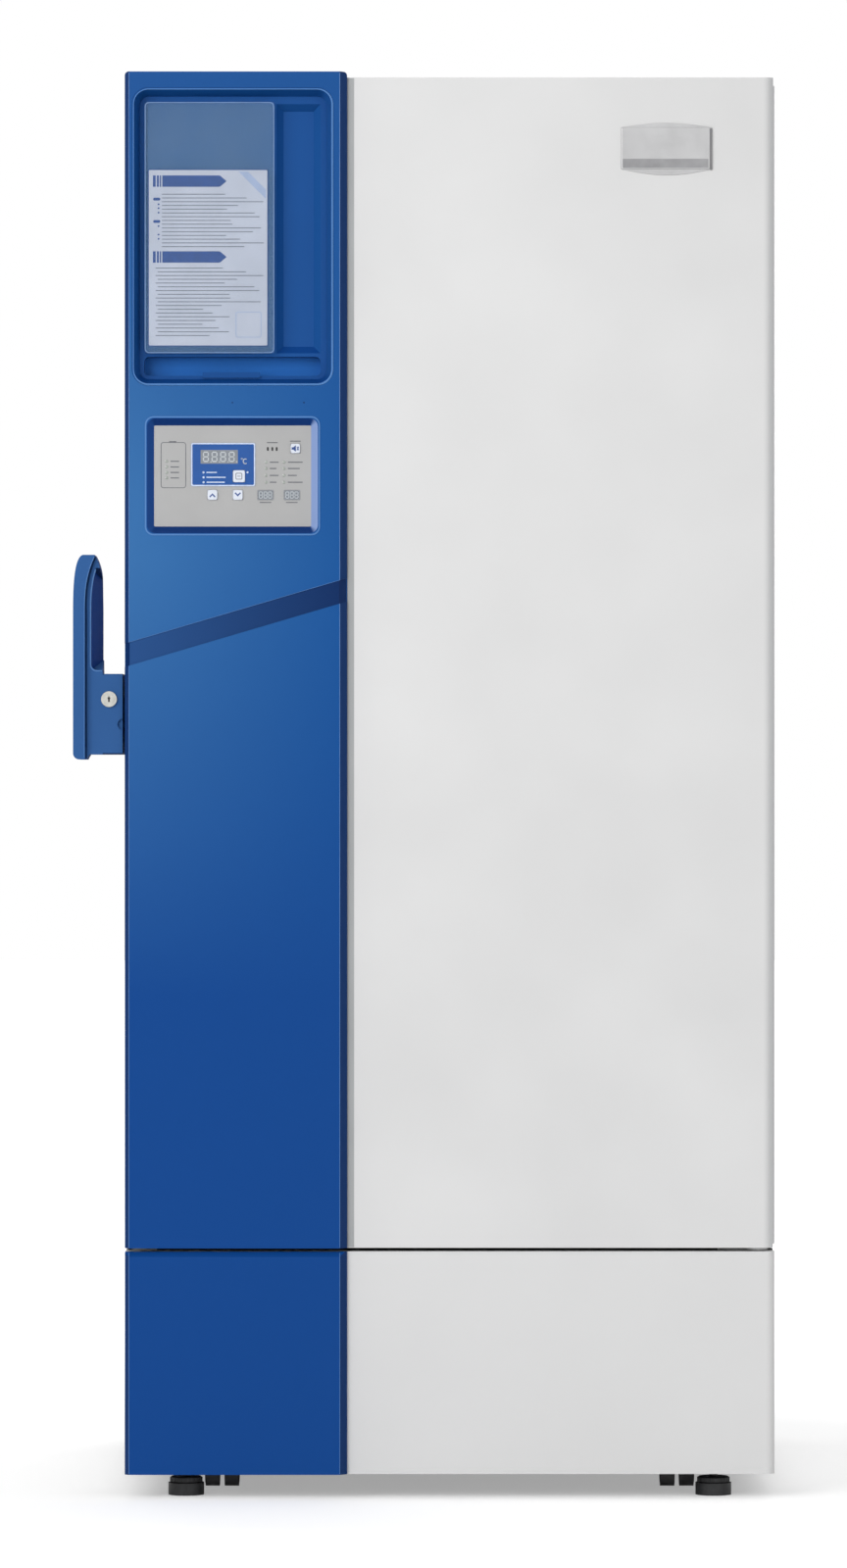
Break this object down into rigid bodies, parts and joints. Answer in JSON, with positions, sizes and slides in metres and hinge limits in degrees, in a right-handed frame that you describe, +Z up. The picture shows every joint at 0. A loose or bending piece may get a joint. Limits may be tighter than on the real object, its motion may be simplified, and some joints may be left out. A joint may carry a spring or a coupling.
{
  "type": "ultra-low temperature freezer",
  "caption": "Upright laboratory freezer with an insulated outer door, lever handle with lock, control panel, inner doors, shelves and a machine compartment below.",
  "frame": {"origin": "middle of the whole object's footprint, on the floor", "axes": "+X to the right seen from the front, +Y from the front to the back, +Z up"},
  "size_m": [0.974, 0.9862, 1.98],
  "materials": {
    "white_paint": "smooth powder coat",
    "sheet_steel": "zinc plated",
    "blue_plastic": "satin",
    "dark_blue_plastic": "satin",
    "foam": "expanded foam",
    "pale_plastic": "moulded",
    "grey_rubber": "soft",
    "copper": "drawn tube",
    "tube_insulation": "foamed sleeve",
    "black_steel": "semi-gloss",
    "fins": "plain",
    "clear_plastic": "clear",
    "display_window": "printed film",
    "silver": "printed film on sheet",
    "white_plastic": "moulded",
    "board": "coated",
    "lever_paint": "satin",
    "lock_metal": "polished",
    "wheel_tread": "solid tread",
    "foot_black": "satin",
    "black_plastic": "moulded"
  },
  "bodies": {
    "cabinet": {"outer_shell": "white_paint", "rear_panel": "sheet_steel", "foam_insulation": "foam", "inner_liner": "sheet_steel", "front_collar": "pale_plastic", "evaporator_coil": "copper", "power_inlet": "black_plastic", "rear_fittings": "grey_rubber", "shelves": "sheet_steel", "shelf_supports": "sheet_steel", "base_frame": "black_steel", "rear_caster_forks": "black_steel", "condenser": "fins", "fan_shroud": "sheet_steel", "fan_motor": "black_plastic", "compressors": "black_steel", "pipework": "tube_insulation", "control_box": "sheet_steel", "hinge_bracket_upper": "white_paint", "hinge_bracket_lower": "white_paint", "latch_strike": "sheet_steel", "inner_door_hinges": "sheet_steel"},
    "outer_door": {"door_skin": "white_paint", "door_foam": "foam", "door_liner": "pale_plastic", "door_gasket": "grey_rubber", "door_fascia": "blue_plastic", "fascia_stripe": "dark_blue_plastic", "document_tray": "blue_plastic", "clear_pocket": "clear_plastic", "control_bezel": "dark_blue_plastic", "control_faceplate": "silver", "display_lens": "display_window", "display_board": "board", "handle_hub": "lever_paint"},
    "handle": {"handle_lever": "lever_paint", "latch_hook": "sheet_steel", "lock_barrel": "lock_metal"},
    "lock_plug": {"lock_plug": "lock_metal"},
    "inner_door_upper": {"inner_door_upper": "pale_plastic", "inner_gasket_upper": "grey_rubber"},
    "inner_door_lower": {"inner_door_lower": "pale_plastic", "inner_gasket_lower": "grey_rubber"},
    "lower_panel": {"lower_panel": "white_paint", "lower_fascia": "blue_plastic"},
    "condenser_filter": {"condenser_filter": "black_plastic"},
    "fan_rotor": {"fan_rotor": "black_plastic"},
    "power_rocker": {"power_rocker": "black_plastic"},
    "button_set": {"button_set": "white_plastic"},
    "button_up": {"button_up": "white_plastic"},
    "button_down": {"button_down": "white_plastic"},
    "button_mute": {"button_mute": "white_plastic"},
    "caster_fork_left": {"caster_fork_left": "black_steel"},
    "front_wheel_left": {"front_wheel_left": "wheel_tread"},
    "rear_wheel_left": {"rear_wheel_left": "wheel_tread"},
    "levelling_foot_left": {"levelling_foot_left": "foot_black"},
    "caster_fork_right": {"caster_fork_right": "black_steel"},
    "front_wheel_right": {"front_wheel_right": "wheel_tread"},
    "rear_wheel_right": {"rear_wheel_right": "wheel_tread"},
    "levelling_foot_right": {"levelling_foot_right": "foot_black"}
  },
  "joints": [
    {"name": "outer_door_hinge", "type": "hinge", "parent": "cabinet", "child": "outer_door", "pos_m": [0.462, -0.45335, 1.15], "axis": [0, 0, 1], "range_deg": [0, 110]},
    {"name": "handle_hinge", "type": "hinge", "parent": "outer_door", "child": "handle", "pos_m": [-0.435, -0.42335, 1.089], "axis": [1, 0, 0], "range_deg": [0, 60]},
    {"name": "lock_plug_turn", "type": "hinge", "parent": "handle", "child": "lock_plug", "pos_m": [-0.4372, -0.47835, 1.1098], "axis": [0, 1, 0], "range_deg": [0, 90]},
    {"name": "inner_door_upper_hinge", "type": "hinge", "parent": "cabinet", "child": "inner_door_upper", "pos_m": [0.3738, -0.34835, 1.5], "axis": [0, 0, 1], "range_deg": [0, 90]},
    {"name": "inner_door_lower_hinge", "type": "hinge", "parent": "cabinet", "child": "inner_door_lower", "pos_m": [0.3738, -0.34835, 0.8], "axis": [0, 0, 1], "range_deg": [0, 90]},
    {"name": "lower_panel_hinge", "type": "hinge", "parent": "cabinet", "child": "lower_panel", "pos_m": [0.462, -0.45335, 0.19], "axis": [0, 0, 1], "range_deg": [0, 95]},
    {"name": "condenser_filter_slide", "type": "slide", "parent": "cabinet", "child": "condenser_filter", "axis": [0, -1, 0], "range_m": [0, 0.15]},
    {"name": "fan_spin", "type": "hinge", "parent": "cabinet", "child": "fan_rotor", "pos_m": [-0.039, -0.30635, 0.224], "axis": [0, 1, 0], "continuous": true},
    {"name": "power_rocker_tilt", "type": "hinge", "parent": "cabinet", "child": "power_rocker", "pos_m": [0.366, -0.32135, 0.262], "axis": [1, 0, 0], "range_deg": [-8, 8]},
    {"name": "button_set_press", "type": "slide", "parent": "outer_door", "child": "button_set", "axis": [0, 1, 0], "range_m": [0, 0.0008], "stiffness_N_per_m": 400},
    {"name": "button_up_press", "type": "slide", "parent": "outer_door", "child": "button_up", "axis": [0, 1, 0], "range_m": [0, 0.0008], "stiffness_N_per_m": 400},
    {"name": "button_down_press", "type": "slide", "parent": "outer_door", "child": "button_down", "axis": [0, 1, 0], "range_m": [0, 0.0008], "stiffness_N_per_m": 400},
    {"name": "button_mute_press", "type": "slide", "parent": "outer_door", "child": "button_mute", "axis": [0, 1, 0], "range_m": [0, 0.0008], "stiffness_N_per_m": 400},
    {"name": "caster_swivel_left", "type": "hinge", "parent": "cabinet", "child": "caster_fork_left", "pos_m": [-0.284, -0.34335, 0.08], "axis": [0, 0, 1], "continuous": true},
    {"name": "front_wheel_spin_left", "type": "hinge", "parent": "caster_fork_left", "child": "front_wheel_left", "pos_m": [-0.284, -0.32535, 0.031], "axis": [1, 0, 0], "continuous": true},
    {"name": "rear_wheel_spin_left", "type": "hinge", "parent": "cabinet", "child": "rear_wheel_left", "pos_m": [-0.284, 0.37165, 0.028], "axis": [1, 0, 0], "continuous": true},
    {"name": "levelling_screw_left", "type": "slide", "parent": "cabinet", "child": "levelling_foot_left", "axis": [0, 0, 1], "range_m": [-0.015, 0]},
    {"name": "caster_swivel_right", "type": "hinge", "parent": "cabinet", "child": "caster_fork_right", "pos_m": [0.356, -0.34335, 0.08], "axis": [0, 0, 1], "continuous": true},
    {"name": "front_wheel_spin_right", "type": "hinge", "parent": "caster_fork_right", "child": "front_wheel_right", "pos_m": [0.356, -0.32535, 0.031], "axis": [1, 0, 0], "continuous": true},
    {"name": "rear_wheel_spin_right", "type": "hinge", "parent": "cabinet", "child": "rear_wheel_right", "pos_m": [0.356, 0.37165, 0.028], "axis": [1, 0, 0], "continuous": true},
    {"name": "levelling_screw_right", "type": "slide", "parent": "cabinet", "child": "levelling_foot_right", "axis": [0, 0, 1], "range_m": [-0.015, 0]}
  ],
  "couplings": [
    {"joint": "inner_door_upper_hinge", "follows": "outer_door_hinge", "ratio": 0.75},
    {"joint": "inner_door_lower_hinge", "follows": "outer_door_hinge", "ratio": 0.75},
    {"joint": "condenser_filter_slide", "follows": "lower_panel_hinge", "m_per_rad": 0.09}
  ]
}
